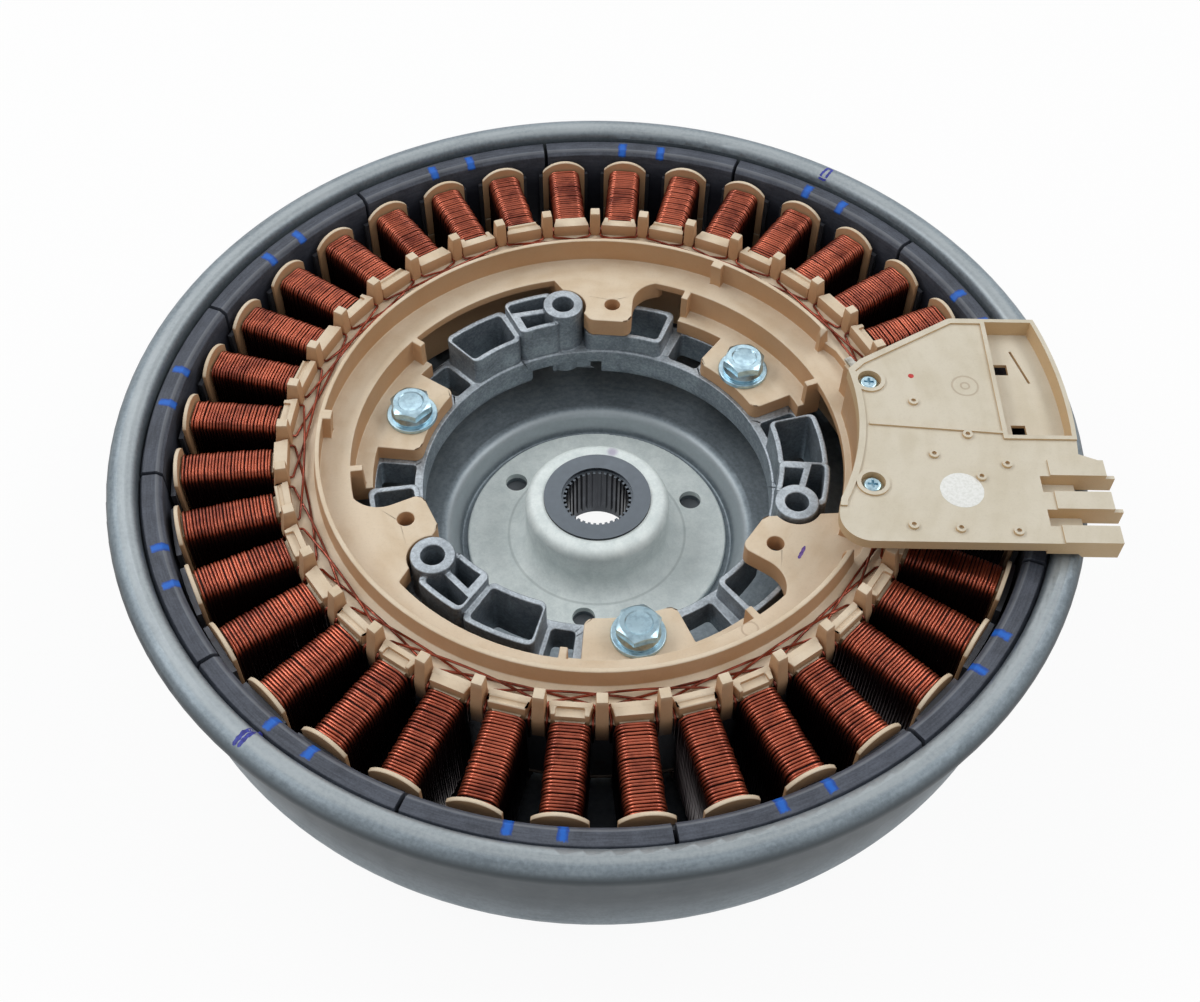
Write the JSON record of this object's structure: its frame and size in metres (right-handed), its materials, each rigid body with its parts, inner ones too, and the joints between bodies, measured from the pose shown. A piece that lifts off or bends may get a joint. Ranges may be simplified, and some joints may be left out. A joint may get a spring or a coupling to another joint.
{
  "type": "direct drive motor",
  "caption": "Outer-rotor direct-drive motor: wound stator with cast mounting ring and terminal cover, seated in a magnet bowl with a splined hub.",
  "frame": {"origin": "on the spin axis, in the plane of the rotor's back, on which the motor rests", "axes": "+Z along the spin axis towards the machine's tub, out of the open side of the rotor; +X through the middle of one stator tooth, towards the terminal cover"},
  "size_m": [0.3042, 0.299, 0.0702],
  "materials": {
    "laminated_steel": "matt edges of stacked sheets",
    "tan_moulding": "matt moulded",
    "enamelled_copper": "enamelled round wire",
    "cast_aluminium": "as cast",
    "zinc_plated_steel": "bright zinc plate",
    "cream_moulding": "fine moulded grain",
    "circuit_board": "satin",
    "tinned_metal": "dull tin",
    "coated_sheet_steel": "satin zinc coating",
    "ferrite": "ground, matt",
    "hub_moulding": "smooth",
    "dark_bush_steel": "oiled"
  },
  "bodies": {
    "stator": {"stator_core": "laminated_steel", "upper_insulator": "tan_moulding", "lower_insulator": "tan_moulding", "winding_u": "enamelled_copper", "winding_v": "enamelled_copper", "winding_w": "enamelled_copper", "crossover_u": "enamelled_copper", "crossover_v": "enamelled_copper", "crossover_w": "enamelled_copper", "mounting_ring": "cast_aluminium", "mounting_bolt_1": "zinc_plated_steel", "mounting_bolt_2": "zinc_plated_steel", "mounting_bolt_3": "zinc_plated_steel", "bolt_washer_1": "zinc_plated_steel", "bolt_washer_2": "zinc_plated_steel", "bolt_washer_3": "zinc_plated_steel", "terminal_cover": "cream_moulding", "cover_screw_1": "zinc_plated_steel", "cover_screw_2": "zinc_plated_steel", "sensor_board": "circuit_board", "phase_terminal_1": "tinned_metal", "phase_terminal_2": "tinned_metal", "phase_terminal_3": "tinned_metal"},
    "rotor": {"rotor_bowl": "coated_sheet_steel", "hub_disc": "hub_moulding", "spline_bush": "dark_bush_steel", "magnet_01": "ferrite", "magnet_02": "ferrite", "magnet_03": "ferrite", "magnet_04": "ferrite", "magnet_05": "ferrite", "magnet_06": "ferrite", "magnet_07": "ferrite", "magnet_08": "ferrite", "magnet_09": "ferrite", "magnet_10": "ferrite", "magnet_11": "ferrite", "magnet_12": "ferrite"}
  },
  "joints": [
    {"name": "rotor_spin", "type": "hinge", "parent": "stator", "child": "rotor", "pos_m": [0, 0, 0], "axis": [0, 0, 1], "continuous": true}
  ]
}
